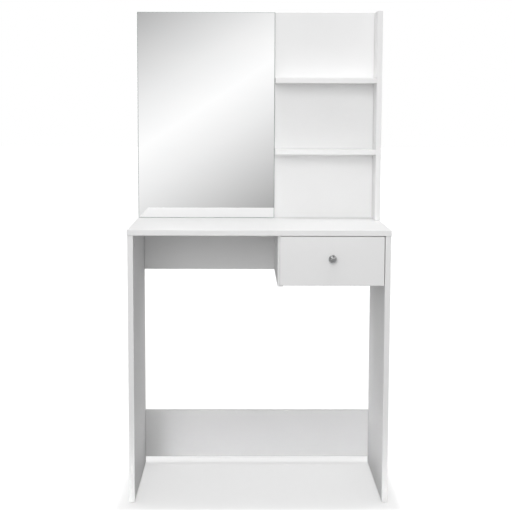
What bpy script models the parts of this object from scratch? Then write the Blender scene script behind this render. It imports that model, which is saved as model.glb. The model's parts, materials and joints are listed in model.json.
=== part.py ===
"""Vanity table: a board-built dressing table with a frameless mirror, two shelves and one drawer.

Metres, +Z up. The origin lies on the floor, under the centre of the whole object's box.
+X points to the right and -Y points towards the person who sits at the table.
"""

import math

import bmesh
import bpy
from mathutils import Vector

for leftover in list(bpy.data.objects):
    bpy.data.objects.remove(leftover, do_unlink=True)

# ---- Driving dimensions: boards ----
BOARD = 0.016  # every carcass board
ARRIS = 0.0006  # softened edge of a board
JOINT = 0.0003  # gap between two pieces that meet
WIDTH = 0.750
TOP_DEPTH = 0.400
TABLE_HEIGHT = 0.794  # floor to the table's surface
SIDE_INSET = 0.0015  # side panels in from the ends of the top
SIDE_SETBACK = 0.001  # side panels behind the front edge of the top
UPPER_RAIL_HEIGHT = 0.147
LOWER_RAIL_HEIGHT = 0.152
LOWER_RAIL_LIFT = 0.023  # lower rail above the floor

# ---- Driving dimensions: mirror panel and shelves ----
PANEL_HEIGHT = 0.636  # above the table's surface
UPRIGHT_DEPTH = 0.100
SHELF_NAMES = ("lower", "upper")
MIRROR_WIDTH = 0.425
MIRROR_THICKNESS = 0.003
MIRROR_INSET = 0.001  # mirror in from the left end of its panel
MIRROR_TO_SHELF = 0.0007
MIRROR_ARRIS = 0.0004
TAPE_WIDTH = 0.025
TAPE_THICKNESS = 0.0005
TAPE_END_MARGIN = 0.060  # tape short of the mirror's ends
TAPE_SIDE_MARGIN = 0.080  # tape in from the mirror's sides

# ---- Driving dimensions: drawer ----
DRAWER_OPENING = 0.289  # divider to right side panel
FRONT_LAP = 0.0103  # drawer front over the divider's edge
FRONT_SIDE_REVEAL = 0.002
FRONT_TOP_REVEAL = 0.002
FRONT_RISE = 0.005  # drawer front's lower edge above the divider's
FRONT_CLEARANCE = 0.001  # divider and runners behind the drawer front
DRAWER_REAR_SPACE = 0.018
DRAWER_LIFT = 0.016  # drawer sides above the divider's lower edge
DRAWER_SIDE = 0.012  # drawer side and back board
BOX_HEADROOM = 0.031  # drawer box below the underside of the top
HARDBOARD = 0.003
GROOVE = 0.006  # depth of the grooves for the bottom
GROOVE_LIFT = 0.010  # bottom above the lower edge of the sides

# ---- Driving dimensions: knob ----
KNOB_REACH = 0.022
KNOB_RADIUS = 0.0114
KNOB_BASE_RADIUS = 0.0066
KNOB_NECK_RADIUS = 0.0050
KNOB_RISE = 0.0085  # knob above the middle of the drawer front
KNOB_DOME = 0.0045
KNOB_EDGE = 0.0035
KNOB_BASE = 0.0015  # height of the base
KNOB_WAIST_INSET = 0.0010  # middle of the waist's curve in from the knob's rim
KNOB_WAIST_MARGIN = 0.0020
KNOB_WAIST_TURN = (250, 110)  # the waist's arc, in degrees
KNOB_SCREW_RADIUS = 0.0020
KNOB_SCREW_GRIP = 0.010  # screw inside the knob
KNOB_SCREW_HEAD_RADIUS = 0.0040
KNOB_SCREW_HEAD = 0.0024
KNOB_SCREW_FACE = 0.75  # share of the screw head's radius that is flat

# ---- Driving dimensions: roller runners ----
RUNNER_SPACE = 0.0125  # drawer side to the wall beside it
STEEL = 0.0012
LIP_CLEARANCE = 0.0015  # lips of the cabinet member to the drawer member's web
RUNNER_FOOT = 0.010  # drawer member under the drawer side
ROLLER_RADIUS = 0.009
ROLLER_SETBACK = 0.015  # roller's axle from its member's end
RUN_GAP = 0.0003  # between a roller and what it runs on
LIP_GAP = 0.0006  # between the drawer member's flange and the upper lip
AXLE_RADIUS = 0.0020
AXLE_HEAD_RADIUS = 0.0032
AXLE_HEAD = 0.0008
ROLLER_EDGE = 0.0008

# ---- Driving dimensions: fasteners ----
CAM_RADIUS = 0.0073
CAM_BELOW_BOLT = 0.0042  # cams are made in a height for each board, with the bolt at mid-board
CAM_SETBACK = 0.034  # cam's axis from the joint
CAM_SLOT = 0.0078
CAM_CROSS = (0.0070, 0.0012, 0.0015)
BOLT_THREAD_RADIUS = 0.0030
BOLT_THREAD = 0.011
BOLT_COLLAR_RADIUS = 0.0036
BOLT_SHANK_RADIUS = 0.0024
BOLT_HEAD_RADIUS = 0.0034
BOLT_HEAD = 0.0035
BOLT_HEAD_PAST_CAM = 0.001  # end of the head past the cam's axis
BOLT_TAPER = 0.001
BOLT_TIP = 0.8  # share of the thread's radius at its tip
BOLT_COLLAR_SPAN = (0.0005, 0.0025)
BOLT_NECK = 0.0030
BOLT_HOLE_RADIUS = 0.0040
SCREW_LENGTH = 0.050
SCREW_HEAD_RADIUS = 0.0048
SCREW_HEAD = 0.0045
SCREW_SHANK_RADIUS = 0.0034
SCREW_SHANK = 0.0140
SCREW_THREAD_RADIUS = 0.0025
SCREW_SOCKET_RADIUS = 0.0020
SCREW_SOCKET = 0.0022
SCREW_HEAD_EDGE = 0.0006
SCREW_STEP = 0.0005
SCREW_TIP = 0.003
DOWEL_RADIUS = 0.0040
DOWEL_IN_TOP = 0.010
DOWEL_IN_DIVIDER = 0.020
DOWEL_CHAMFER = (0.0006, 0.0008)  # across and along the dowel
TOP_CAM_FRONT = 0.050  # front cams behind the front edge of the top
TOP_CAM_REAR = 0.090  # rear cams ahead of the rear edge of the top
UPRIGHT_SCREW_REAR = 0.040  # upright's screw ahead of the rear edge
PANEL_SCREW_MARGIN = 0.125  # panel's screws in from its ends
SHELF_SCREW_MARGIN = 0.050  # shelf's rear screws in from its ends
DOWEL_FRONT = 0.030  # dowel behind the divider's front edge
GLIDE_RADIUS = 0.0070
GLIDE_HEIGHT = 0.0020
GLIDE_PIN_RADIUS = 0.0015
GLIDE_PIN = 0.011
GLIDE_EDGE = 0.0008
GLIDE_POINT = 0.001
GLIDE_MARGIN = 0.030  # glides in from the side panel's ends

# ---- Places worked out from the driving dimensions ----
REAR = (TOP_DEPTH + KNOB_REACH) / 2
FRONT = REAR - TOP_DEPTH
RAIL_FRONT = REAR - BOARD
TOP_X = WIDTH / 2
SIDE_OUT = TOP_X - SIDE_INSET
SIDE_IN = SIDE_OUT - BOARD
SIDE_MIDDLE = (SIDE_OUT + SIDE_IN) / 2
SIDE_FRONT = FRONT + SIDE_SETBACK
TOP_UNDER = TABLE_HEIGHT - BOARD
RAIL_UNDER = TOP_UNDER - UPPER_RAIL_HEIGHT
CROWN = TABLE_HEIGHT + PANEL_HEIGHT
UPRIGHT_IN = TOP_X - BOARD
UPRIGHT_FRONT = REAR - UPRIGHT_DEPTH
MIRROR_LEFT = -TOP_X + MIRROR_INSET
MIRROR_RIGHT = MIRROR_LEFT + MIRROR_WIDTH
SHELF_LEFT = MIRROR_RIGHT + MIRROR_TO_SHELF
SHELF_BAY = (PANEL_HEIGHT - len(SHELF_NAMES) * BOARD) / (len(SHELF_NAMES) + 1)
DIVIDER_RIGHT = SIDE_IN - DRAWER_OPENING
DIVIDER_LEFT = DIVIDER_RIGHT - BOARD
BEHIND_FRONT = FRONT + BOARD + FRONT_CLEARANCE
BOX_FRONT = FRONT + BOARD + JOINT
BOX_REAR = RAIL_FRONT - DRAWER_REAR_SPACE
BOX_OUT = (DIVIDER_RIGHT + RUNNER_SPACE, SIDE_IN - RUNNER_SPACE)
BOX_IN = (BOX_OUT[0] + DRAWER_SIDE, BOX_OUT[1] - DRAWER_SIDE)
BOX_UNDER = RAIL_UNDER + DRAWER_LIFT
BOX_TOP = TOP_UNDER - BOX_HEADROOM
BOTTOM_UNDER = BOX_UNDER + GROOVE_LIFT
BOTTOM_TOP = BOTTOM_UNDER + HARDBOARD
FRONT_LEFT = DIVIDER_RIGHT - FRONT_LAP
FRONT_RIGHT = SIDE_IN - FRONT_SIDE_REVEAL
FRONT_UNDER = RAIL_UNDER + FRONT_RISE
FRONT_TOP = TOP_UNDER - FRONT_TOP_REVEAL
CAM_HEIGHT = BOARD / 2 + CAM_BELOW_BOLT
KNOB_Z = (FRONT_UNDER + FRONT_TOP) / 2 + KNOB_RISE
KNOB_CENTRE = Vector(((FRONT_LEFT + FRONT_RIGHT) / 2, FRONT, KNOB_Z))
CHANNEL_UNDER = BOX_UNDER - JOINT - STEEL
CHANNEL_LIP = RUNNER_SPACE - JOINT - STEEL - LIP_CLEARANCE
ROLLER_NEAR = JOINT + STEEL + RUN_GAP + AXLE_HEAD + RUN_GAP
ROLLER_FAR = RUNNER_SPACE - ROLLER_NEAR
ROLLER_Z = CHANNEL_UNDER + STEEL + RUN_GAP + ROLLER_RADIUS
FLANGE_UNDER = ROLLER_Z + ROLLER_RADIUS + RUN_GAP
FLANGE_TOP = FLANGE_UNDER + STEEL
CHANNEL_TOP = FLANGE_TOP + LIP_GAP + STEEL
CHANNEL_FRONT = BEHIND_FRONT + FRONT_CLEARANCE
CHANNEL_REAR = CHANNEL_FRONT + BOX_REAR - BOX_FRONT
CABINET_ROLLER_Y = CHANNEL_FRONT + ROLLER_SETBACK
DRAWER_ROLLER_Y = BOX_REAR - ROLLER_SETBACK

# A side is its name, the wall that its runner stands on, and the way from that wall to the drawer.
RUNNER_SIDES = (("left", DIVIDER_RIGHT, 1), ("right", SIDE_IN, -1))
PANEL_SIDES = (("left", -1), ("right", 1))

LEFT = Vector((-1, 0, 0))
RIGHT = Vector((1, 0, 0))
FORWARD = Vector((0, -1, 0))
BACKWARD = Vector((0, 1, 0))
UP = Vector((0, 0, 1))
DOWN = Vector((0, 0, -1))
SMALL_ROUND = 12  # sides of a screw, bolt, dowel or pin
ROUND = 20  # sides of a cam
FINE_ROUND = 32  # sides of a roller or the knob
SHARP_ANGLE = math.radians(35)
CUT_OVERRUN = 0.001  # how far a cutter runs past the face that it starts from


# ---- Materials ----
def principled(name, colour, roughness, metallic=0.0):
    made = bpy.data.materials.new(name)
    made.use_nodes = True
    shader = made.node_tree.nodes["Principled BSDF"]
    shader.inputs["Base Color"].default_value = (*colour, 1.0)
    shader.inputs["Roughness"].default_value = roughness
    shader.inputs["Metallic"].default_value = metallic
    made.diffuse_color = (*colour, 1.0)
    return made


def white_melamine():
    return principled("white_melamine", (0.86, 0.86, 0.85), 0.38)


def drawer_board():
    return principled("drawer_board", (0.80, 0.80, 0.78), 0.50)


def silvered_glass():
    return principled("silvered_glass", (0.88, 0.90, 0.90), 0.03, 1.0)


def polished_chrome():
    return principled("polished_chrome", (0.75, 0.75, 0.76), 0.12, 1.0)


def zinc_plate():
    return principled("zinc_plate", (0.62, 0.62, 0.60), 0.35, 1.0)


def white_enamel():
    return principled("white_enamel", (0.80, 0.80, 0.79), 0.40)


def white_nylon():
    return principled("white_nylon", (0.78, 0.78, 0.75), 0.50)


def beech_wood():
    return principled("beech_wood", (0.62, 0.45, 0.28), 0.65)


def foam_tape():
    return principled("foam_tape", (0.35, 0.35, 0.35), 0.90)


MELAMINE = white_melamine()
DRAWER_BOARD = drawer_board()
GLASS = silvered_glass()
CHROME = polished_chrome()
ZINC = zinc_plate()
ENAMEL = white_enamel()
NYLON = white_nylon()
BEECH = beech_wood()
TAPE = foam_tape()


# ---- Shapes ----
def placed(name, mesh, location, material=None, parent=None):
    """A new object at a world location, whatever its parent."""
    made = bpy.data.objects.new(name, mesh)
    bpy.context.scene.collection.objects.link(made)
    made.location = location
    if parent:
        made.parent = parent
        made.location = Vector(location) - parent.location
    if material:
        mesh.materials.append(material)
    return made


def box_mesh(name, size):
    shape = bmesh.new()
    bmesh.ops.create_cube(shape, size=1.0)
    bmesh.ops.scale(shape, vec=size, verts=shape.verts)
    mesh = bpy.data.meshes.new(name)
    shape.to_mesh(mesh)
    shape.free()
    return mesh


def box(name, low, high, material=None, parent=None):
    low, high = Vector(low), Vector(high)
    return placed(name, box_mesh(name, high - low), (low + high) / 2, material, parent)


def board(name, low, high, material=MELAMINE, parent=None, arris=ARRIS):
    """A board or sheet between two corners, its edges softened."""
    made = box(name, low, high, material, parent)
    bevel = made.modifiers.new("arris", "BEVEL")
    bevel.width = arris
    bevel.segments = 1
    return made


def turned_mesh(name, profile, sides, ring=False):
    """Turns (radius, height) points about Z.

    A ring's profile closes on itself; any other starts and ends on Z.
    """
    shape = bmesh.new()
    rows = []
    for radius, height in profile:
        if radius:
            angles = [math.tau * n / sides for n in range(sides)]
            row = [(radius * math.cos(a), radius * math.sin(a), height) for a in angles]
            rows.append([shape.verts.new(point) for point in row])
        else:
            rows.append([shape.verts.new((0, 0, height))] * sides)
    if ring:
        rows.append(rows[0])
    for lower, upper in zip(rows, rows[1:]):
        for n in range(sides):
            corners = (lower[n], lower[(n + 1) % sides], upper[(n + 1) % sides], upper[n])
            shape.faces.new(dict.fromkeys(corners))
    bmesh.ops.recalc_face_normals(shape, faces=shape.faces)
    mesh = bpy.data.meshes.new(name)
    shape.to_mesh(mesh)
    shape.free()
    mesh.shade_smooth()
    mesh.set_sharp_from_angle(angle=SHARP_ANGLE)
    return mesh


def turned(name, profile, location, axis=UP, sides=SMALL_ROUND, material=None, parent=None, ring=False):
    """A turned piece whose profile's height runs along an axis."""
    made = placed(name, turned_mesh(name, profile, sides, ring), location, material, parent)
    made.rotation_mode = "QUATERNION"
    made.rotation_quaternion = UP.rotation_difference(axis)
    return made


def as_cutter(made):
    made.hide_render = True
    made.display_type = "WIRE"
    return made


def boolean(target, operation, tool):
    step = target.modifiers.new(tool.name, "BOOLEAN")
    step.operation = operation
    step.solver = "EXACT"
    step.object = tool
    as_cutter(tool)


def cut(targets, cutter):
    for target in targets:
        boolean(target, "DIFFERENCE", cutter)


def drill(targets, radius, location, axis, start, end, sides=SMALL_ROUND):
    """A round hole from start to end, both measured along the axis from the location."""
    profile = ((0, start), (radius, start), (radius, end), (0, end))
    cut(targets, turned(f"{targets[0].name}_hole", profile, location, axis, sides))


# ---- Fasteners ----
def screw_profile(clearance=0.0, overrun=0.0):
    """From the head's face down to the tip. With a clearance it is the hole that the screw lies in."""
    if overrun:
        top = ((0, overrun), (SCREW_HEAD_RADIUS + clearance, overrun))
    else:
        top = (
            (0, -SCREW_SOCKET),
            (SCREW_SOCKET_RADIUS, -SCREW_SOCKET),
            (SCREW_SOCKET_RADIUS, 0),
            (SCREW_HEAD_RADIUS, 0),
        )
    steps = (
        (SCREW_HEAD_RADIUS, -SCREW_HEAD_EDGE),
        (SCREW_SHANK_RADIUS, -SCREW_HEAD),
        (SCREW_SHANK_RADIUS, -SCREW_SHANK),
        (SCREW_THREAD_RADIUS, -SCREW_SHANK - SCREW_STEP),
        (SCREW_THREAD_RADIUS, -SCREW_LENGTH + SCREW_TIP),
    )
    body = tuple((radius + clearance, height - clearance) for radius, height in steps)
    return (*top, *body, (0, -SCREW_LENGTH - clearance))


def board_screw(name, entry, way_in, boards):
    """A long flat-headed screw let into the first board's face, through it and into the second."""
    seat = Vector(entry) + way_in * JOINT
    turned(name, screw_profile(), seat, -way_in, material=ZINC)
    cutter = turned(f"{name}_hole", screw_profile(JOINT, CUT_OVERRUN), seat, -way_in)
    cut(boards, cutter)


def cam_joint(name, joint, way_in, face_depth, face, carrier, receiver):
    """A cam let into the carrier's face, and its bolt, screwed into the receiver.

    The bolt lies on the line through joint, a point of the carrier's edge, and runs along way_in.
    The cam opens on the carrier's face whose outward normal is face, face_depth from the bolt.
    """
    joint = Vector(joint)
    thread = -JOINT - BOLT_THREAD
    head = CAM_SETBACK + BOLT_HEAD_PAST_CAM
    bolt = (
        (0, thread),
        (BOLT_THREAD_RADIUS * BOLT_TIP, thread),
        (BOLT_THREAD_RADIUS, thread + BOLT_TAPER),
        (BOLT_THREAD_RADIUS, BOLT_COLLAR_SPAN[0]),
        (BOLT_COLLAR_RADIUS, BOLT_COLLAR_SPAN[0]),
        (BOLT_COLLAR_RADIUS, BOLT_COLLAR_SPAN[1]),
        (BOLT_SHANK_RADIUS, BOLT_NECK),
        (BOLT_SHANK_RADIUS, head - BOLT_HEAD - BOLT_TAPER),
        (BOLT_HEAD_RADIUS, head - BOLT_HEAD),
        (BOLT_HEAD_RADIUS, head),
        (0, head),
    )
    turned(f"{name}_cam_bolt", bolt, joint, way_in, material=ZINC)
    drill([receiver], BOLT_THREAD_RADIUS + JOINT, joint, way_in, thread - JOINT, CUT_OVERRUN)
    drill([carrier], BOLT_HOLE_RADIUS, joint, way_in, -CUT_OVERRUN, CAM_SETBACK)
    drop = face_depth - JOINT
    seat = joint + way_in * CAM_SETBACK + face * drop
    cam = turned(
        f"{name}_cam_lock",
        ((0, -CAM_HEIGHT), (CAM_RADIUS, -CAM_HEIGHT), (CAM_RADIUS, 0), (0, 0)),
        seat,
        face,
        ROUND,
        ZINC,
    )
    drill([carrier], CAM_RADIUS + JOINT, seat, face, -CAM_HEIGHT - JOINT, CUT_OVERRUN, ROUND)
    across = face.cross(way_in)
    slot_top = -drop + CAM_SLOT / 2
    slot_bottom = -CAM_HEIGHT - CUT_OVERRUN
    reach = CAM_RADIUS + CUT_OVERRUN
    inner = head - CAM_SETBACK + JOINT
    corners = [
        seat + way_in * run + across * side * CAM_SLOT / 2 + face * depth
        for run, side, depth in ((-reach, -1, slot_bottom), (inner, 1, slot_top))
    ]
    cut([cam], spanning(f"{name}_cam_slot", *corners))
    length, width, depth = CAM_CROSS
    for n, (along, beside) in enumerate(((way_in, across), (across, way_in))):
        corners = [
            seat + along * side * length / 2 + beside * side * width / 2 + face * height
            for side, height in ((-1, -depth), (1, CUT_OVERRUN))
        ]
        cut([cam], spanning(f"{name}_cam_cross_{n}", *corners))


def spanning(name, first, second):
    """A box between any two opposite corners."""
    low = [min(pair) for pair in zip(first, second)]
    high = [max(pair) for pair in zip(first, second)]
    return box(name, low, high)


# ---- Table ----
def table_top():
    return board("table_top", (-TOP_X, FRONT, TOP_UNDER), (TOP_X, REAR, TABLE_HEIGHT))


def side_panels():
    made = {}
    for name, side in PANEL_SIDES:
        low = (min(side * SIDE_IN, side * SIDE_OUT), SIDE_FRONT, GLIDE_HEIGHT + JOINT)
        high = (max(side * SIDE_IN, side * SIDE_OUT), REAR, TOP_UNDER - JOINT)
        made[name] = board(f"side_panel_{name}", low, high)
    return made


def rails():
    reach = SIDE_IN - JOINT
    upper = board("upper_rear_rail", (-reach, RAIL_FRONT, RAIL_UNDER), (reach, REAR, TOP_UNDER - JOINT))
    lower_top = LOWER_RAIL_LIFT + LOWER_RAIL_HEIGHT
    lower = board("lower_rear_rail", (-reach, RAIL_FRONT, LOWER_RAIL_LIFT), (reach, REAR, lower_top))
    return upper, lower


def drawer_divider():
    low = (DIVIDER_LEFT, BEHIND_FRONT, RAIL_UNDER)
    high = (DIVIDER_RIGHT, RAIL_FRONT - JOINT, TOP_UNDER - JOINT)
    return board("drawer_divider", low, high)


def glides(panels):
    """Nail-on glides: a low round foot and the pin that it is driven in by."""
    foot = (
        (0, 0),
        (GLIDE_RADIUS - GLIDE_EDGE, 0),
        (GLIDE_RADIUS, GLIDE_EDGE),
        (GLIDE_RADIUS, GLIDE_HEIGHT),
        (GLIDE_PIN_RADIUS, GLIDE_HEIGHT),
        (GLIDE_PIN_RADIUS, GLIDE_HEIGHT + GLIDE_PIN),
        (0, GLIDE_HEIGHT + GLIDE_PIN + GLIDE_POINT),
    )
    for name, side in PANEL_SIDES:
        for end, y in (("front", SIDE_FRONT + GLIDE_MARGIN), ("rear", REAR - GLIDE_MARGIN)):
            place = (side * SIDE_MIDDLE, y, 0)
            turned(f"glide_{end}_{name}", foot, place, sides=ROUND, material=NYLON)
            hole = GLIDE_HEIGHT + GLIDE_PIN + GLIDE_POINT + JOINT
            drill([panels[name]], GLIDE_PIN_RADIUS + JOINT, place, UP, 0, hole)


# ---- Mirror panel, shelves ----
def back_panel():
    low = (-TOP_X, RAIL_FRONT, TABLE_HEIGHT + JOINT)
    return board("back_panel", low, (UPRIGHT_IN - JOINT, REAR, CROWN))


def mirror():
    back = RAIL_FRONT - TAPE_THICKNESS - 2 * JOINT
    low = (MIRROR_LEFT, back - MIRROR_THICKNESS, TABLE_HEIGHT + JOINT)
    board("mirror", low, (MIRROR_RIGHT, back, CROWN), GLASS, arris=MIRROR_ARRIS)
    tape_back = RAIL_FRONT - JOINT
    for name, x in (
        ("left", MIRROR_LEFT + TAPE_SIDE_MARGIN),
        ("right", MIRROR_RIGHT - TAPE_SIDE_MARGIN - TAPE_WIDTH),
    ):
        low = (x, tape_back - TAPE_THICKNESS, TABLE_HEIGHT + TAPE_END_MARGIN)
        box(f"mirror_tape_{name}", low, (x + TAPE_WIDTH, tape_back, CROWN - TAPE_END_MARGIN), TAPE)


def shelf_upright():
    low = (UPRIGHT_IN, UPRIGHT_FRONT, TABLE_HEIGHT + JOINT)
    return board("shelf_upright", low, (TOP_X, REAR, CROWN))


def shelves():
    made = {}
    for n, name in enumerate(SHELF_NAMES):
        under = TABLE_HEIGHT + SHELF_BAY + n * (SHELF_BAY + BOARD)
        low = (SHELF_LEFT, UPRIGHT_FRONT, under)
        high = (UPRIGHT_IN - JOINT, RAIL_FRONT - JOINT, under + BOARD)
        made[name] = board(f"shelf_{name}", low, high)
    return made


# ---- Drawer ----
def drawer_front(drawer):
    low = (FRONT_LEFT, FRONT, FRONT_UNDER)
    front = board("drawer_front", low, (FRONT_RIGHT, FRONT + BOARD, FRONT_TOP), parent=drawer)
    groove = box(
        "drawer_front_groove",
        (BOX_IN[0] - GROOVE, FRONT + BOARD - GROOVE, BOTTOM_UNDER - JOINT),
        (BOX_IN[1] + GROOVE, FRONT + BOARD + CUT_OVERRUN, BOTTOM_TOP + JOINT),
    )
    cut([front], groove)
    return front


def drawer_box(drawer):
    """Two sides grooved for the bottom, a back that stands on it, and the bottom itself."""
    low, high = Vector((0, BOX_FRONT, BOX_UNDER)), Vector((0, BOX_REAR, BOX_TOP))
    for (name, _, inward), outer, inner in zip(RUNNER_SIDES, BOX_OUT, BOX_IN):
        low.x, high.x = min(outer, inner), max(outer, inner)
        side = board(f"drawer_side_{name}", low, high, DRAWER_BOARD, drawer)
        groove = spanning(
            f"{side.name}_groove",
            (inner - inward * GROOVE, BOX_FRONT - CUT_OVERRUN, BOTTOM_UNDER - JOINT),
            (inner + inward * CUT_OVERRUN, BOX_REAR + CUT_OVERRUN, BOTTOM_TOP + JOINT),
        )
        cut([side], groove)
    board(
        "drawer_back",
        (BOX_IN[0] + JOINT, BOX_REAR - DRAWER_SIDE, BOTTOM_TOP + JOINT),
        (BOX_IN[1] - JOINT, BOX_REAR, BOX_TOP),
        DRAWER_BOARD,
        drawer,
    )
    tongue = GROOVE - JOINT
    box(
        "drawer_bottom",
        (BOX_IN[0] - tongue, FRONT + BOARD - tongue, BOTTOM_UNDER),
        (BOX_IN[1] + tongue, BOX_REAR, BOTTOM_TOP),
        DRAWER_BOARD,
        drawer,
    )


def arc(centre, radii, start, end, steps):
    """Points of an elliptical arc in (radius, height), angles in degrees from the radius axis."""
    angles = [math.radians(start + (end - start) * n / steps) for n in range(steps + 1)]
    return [(centre[0] + radii[0] * math.cos(a), centre[1] + radii[1] * math.sin(a)) for a in angles]


def drawer_knob(drawer, front):
    """A round knob: base, waisted neck, rounded rim and low dome, with the screw that holds it."""
    rim = KNOB_REACH - KNOB_DOME - KNOB_EDGE / 2
    waist = (rim - KNOB_EDGE / 2) / 2
    bore = JOINT + KNOB_SCREW_GRIP
    middle = KNOB_RADIUS - KNOB_WAIST_INSET
    shoulder = KNOB_RADIUS - KNOB_EDGE / 2
    waist_radii = (middle - KNOB_NECK_RADIUS, waist - KNOB_WAIST_MARGIN)
    profile = [
        (0, KNOB_REACH),
        *arc((0, KNOB_REACH - KNOB_DOME), (shoulder, KNOB_DOME), 75, 15, 4),
        *arc((shoulder, rim), (KNOB_EDGE / 2, KNOB_EDGE / 2), 80, -80, 6),
        *reversed(arc((middle, waist), waist_radii, *KNOB_WAIST_TURN, 8)),
        (KNOB_BASE_RADIUS, KNOB_BASE),
        (KNOB_BASE_RADIUS, JOINT),
        (KNOB_SCREW_RADIUS + JOINT, JOINT),
        (KNOB_SCREW_RADIUS + JOINT, bore + JOINT),
        (0, bore + JOINT),
    ]
    turned("drawer_knob", profile, KNOB_CENTRE, FORWARD, FINE_ROUND, CHROME, drawer)
    behind = -BOARD - JOINT
    screw = (
        (0, behind - KNOB_SCREW_HEAD),
        (KNOB_SCREW_HEAD_RADIUS * KNOB_SCREW_FACE, behind - KNOB_SCREW_HEAD),
        (KNOB_SCREW_HEAD_RADIUS, behind - KNOB_SCREW_HEAD / 2),
        (KNOB_SCREW_HEAD_RADIUS, behind),
        (KNOB_SCREW_RADIUS, behind),
        (KNOB_SCREW_RADIUS, bore),
        (0, bore),
    )
    turned("knob_screw", screw, KNOB_CENTRE, FORWARD, material=ZINC, parent=drawer)
    drill([front], KNOB_SCREW_RADIUS + JOINT, KNOB_CENTRE, FORWARD, -BOARD - CUT_OVERRUN, CUT_OVERRUN)


# ---- Roller runners ----
def riveted_axle(member, base, reach, axis):
    """A headed axle joined to a runner member, its head ending reach away from base along the axis."""
    profile = (
        (0, 0),
        (AXLE_RADIUS, 0),
        (AXLE_RADIUS, reach - AXLE_HEAD),
        (AXLE_HEAD_RADIUS, reach - AXLE_HEAD),
        (AXLE_HEAD_RADIUS, reach),
        (0, reach),
    )
    boolean(member, "UNION", turned(f"{member.name}_axle", profile, base, axis))


def roller(name, wall, inward, y, parent=None):
    bore = AXLE_RADIUS + RUN_GAP
    half = (ROLLER_FAR - ROLLER_NEAR) / 2
    profile = (
        (bore, -half),
        (ROLLER_RADIUS - ROLLER_EDGE, -half),
        (ROLLER_RADIUS, -half + ROLLER_EDGE),
        (ROLLER_RADIUS, half - ROLLER_EDGE),
        (ROLLER_RADIUS - ROLLER_EDGE, half),
        (bore, half),
    )
    middle = wall + inward * (ROLLER_NEAR + ROLLER_FAR) / 2
    turned(name, profile, (middle, y, ROLLER_Z), RIGHT, FINE_ROUND, NYLON, parent, ring=True)


def folded(name, outline, wall, inward, start, end, parent=None):
    """A steel section: outline is (distance from the wall, height) points, extruded along Y."""
    middle = Vector((wall, (start + end) / 2, ROLLER_Z))
    shape = bmesh.new()
    corners = [(inward * out, start - middle.y, height - middle.z) for out, height in outline]
    sheet = shape.faces.new([shape.verts.new(corner) for corner in corners])
    grown = bmesh.ops.extrude_face_region(shape, geom=[sheet])["geom"]
    moved = [part for part in grown if isinstance(part, bmesh.types.BMVert)]
    bmesh.ops.translate(shape, vec=(0, end - start, 0), verts=moved)
    bmesh.ops.recalc_face_normals(shape, faces=shape.faces)
    mesh = bpy.data.meshes.new(name)
    shape.to_mesh(mesh)
    shape.free()
    return placed(name, mesh, middle, ENAMEL, parent)


def cabinet_runner(name, wall, inward):
    """A channel open to the drawer, with a roller at its front that the drawer member runs over."""
    back, skin = JOINT, JOINT + STEEL
    outline = (
        (back, CHANNEL_UNDER),
        (CHANNEL_LIP, CHANNEL_UNDER),
        (CHANNEL_LIP, CHANNEL_UNDER + STEEL),
        (skin, CHANNEL_UNDER + STEEL),
        (skin, CHANNEL_TOP - STEEL),
        (CHANNEL_LIP, CHANNEL_TOP - STEEL),
        (CHANNEL_LIP, CHANNEL_TOP),
        (back, CHANNEL_TOP),
    )
    member = folded(f"cabinet_runner_{name}", outline, wall, inward, CHANNEL_FRONT, CHANNEL_REAR)
    base = Vector((wall + inward * (back + STEEL / 2), CABINET_ROLLER_Y, ROLLER_Z))
    reach = ROLLER_FAR + RUN_GAP + AXLE_HEAD - (back + STEEL / 2)
    riveted_axle(member, base, reach, RIGHT * inward)
    roller(f"cabinet_roller_{name}", wall, inward, CABINET_ROLLER_Y)


def drawer_runner(name, wall, inward, drawer):
    """A foot under the drawer side, a web beside it and a flange in the channel, with a rear roller."""
    web = RUNNER_SPACE - JOINT
    foot = RUNNER_SPACE + RUNNER_FOOT
    outline = (
        (web - STEEL, CHANNEL_UNDER),
        (foot, CHANNEL_UNDER),
        (foot, CHANNEL_UNDER + STEEL),
        (web, CHANNEL_UNDER + STEEL),
        (web, FLANGE_TOP),
        (ROLLER_NEAR, FLANGE_TOP),
        (ROLLER_NEAR, FLANGE_UNDER),
        (web - STEEL, FLANGE_UNDER),
    )
    member = folded(f"drawer_runner_{name}", outline, wall, inward, BOX_FRONT, BOX_REAR, drawer)
    base = Vector((wall + inward * (web - STEEL / 2), DRAWER_ROLLER_Y, ROLLER_Z))
    reach = (web - STEEL / 2) - (ROLLER_NEAR - RUN_GAP - AXLE_HEAD)
    riveted_axle(member, base, reach, LEFT * inward)
    roller(f"drawer_roller_{name}", wall, inward, DRAWER_ROLLER_Y, drawer)


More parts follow.
